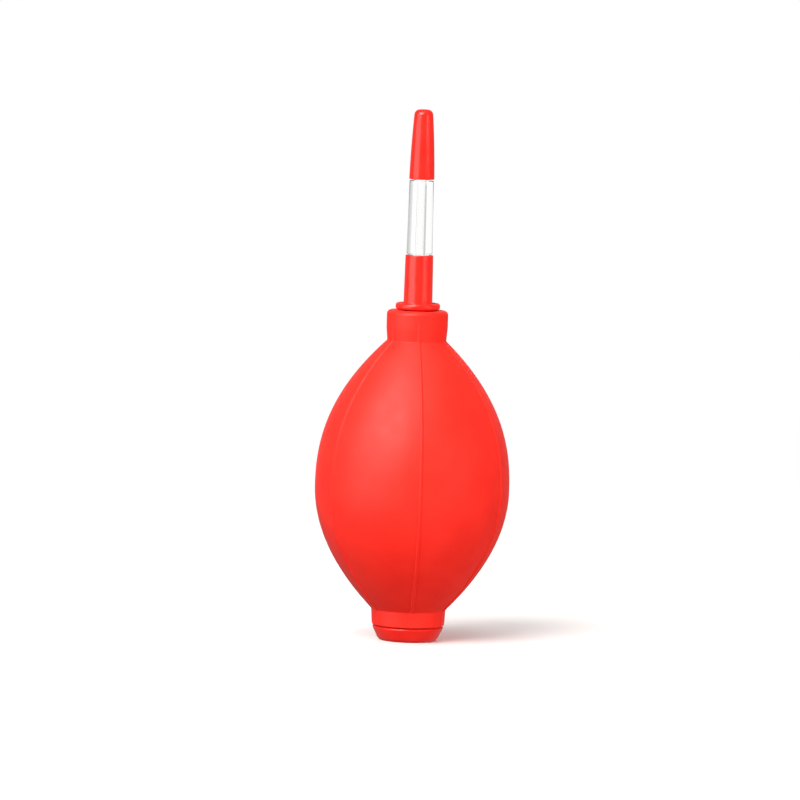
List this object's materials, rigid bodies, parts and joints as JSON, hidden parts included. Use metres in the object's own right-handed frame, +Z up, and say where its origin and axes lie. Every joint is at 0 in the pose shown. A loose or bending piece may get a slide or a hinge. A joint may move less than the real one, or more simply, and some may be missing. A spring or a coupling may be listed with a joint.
{
  "type": "dust blower bulb",
  "caption": "Hand-squeezed silicone air blower with a ribbed lemon-shaped bulb, a slim push-in nozzle and a one-way inlet valve in its foot.",
  "frame": {"origin": "centre of the foot's flat underside, on the surface the blower stands on", "axes": "+Z up along the bulb's axis towards the nozzle tip; -Y is the side the thumb presses; +X is to the right seen from that side"},
  "size_m": [0.0604, 0.061, 0.165],
  "materials": {
    "red_silicone": "satin moulded silicone, bright red, faint parting ribs",
    "red_plastic": "glossy moulded plastic, bright red",
    "clear_plastic": "clear tube, polished",
    "valve_plastic": "natural white moulded plastic",
    "filter_foam": "open-cell dark grey foam",
    "flap_rubber": "translucent natural silicone sheet"
  },
  "bodies": {
    "base": {"base_housing": "red_plastic", "intake_cover": "red_plastic", "filter_pad": "filter_foam", "valve_seat": "valve_plastic", "flap_rivet": "valve_plastic"},
    "flap": {"inlet_flap": "flap_rubber"},
    "bulb": {"bulb_shell": "red_silicone"},
    "front_squeeze": {"front_squeeze_wall": "red_silicone"},
    "back_squeeze": {"back_squeeze_wall": "red_silicone"},
    "nozzle": {"nozzle_plug": "red_plastic", "nozzle_tube": "clear_plastic", "nozzle_tip": "red_plastic"}
  },
  "joints": [
    {"name": "bulb_pull", "type": "slide", "parent": "base", "child": "bulb", "axis": [0, 0, 1], "range_m": [0, 0.016]},
    {"name": "flap_lift", "type": "slide", "parent": "base", "child": "flap", "axis": [0, 0, 1], "range_m": [0, 0.0012]},
    {"name": "thumb_squeeze", "type": "slide", "parent": "bulb", "child": "front_squeeze", "axis": [0, 1, 0], "range_m": [0, 0.018], "stiffness_N_per_m": 600},
    {"name": "finger_squeeze", "type": "slide", "parent": "bulb", "child": "back_squeeze", "axis": [0, -1, 0], "range_m": [0, 0.012]},
    {"name": "nozzle_pull", "type": "slide", "parent": "bulb", "child": "nozzle", "axis": [0, 0, 1], "range_m": [0, 0.016]}
  ],
  "couplings": [
    {"joint": "finger_squeeze", "follows": "thumb_squeeze", "ratio": 0.6666}
  ]
}
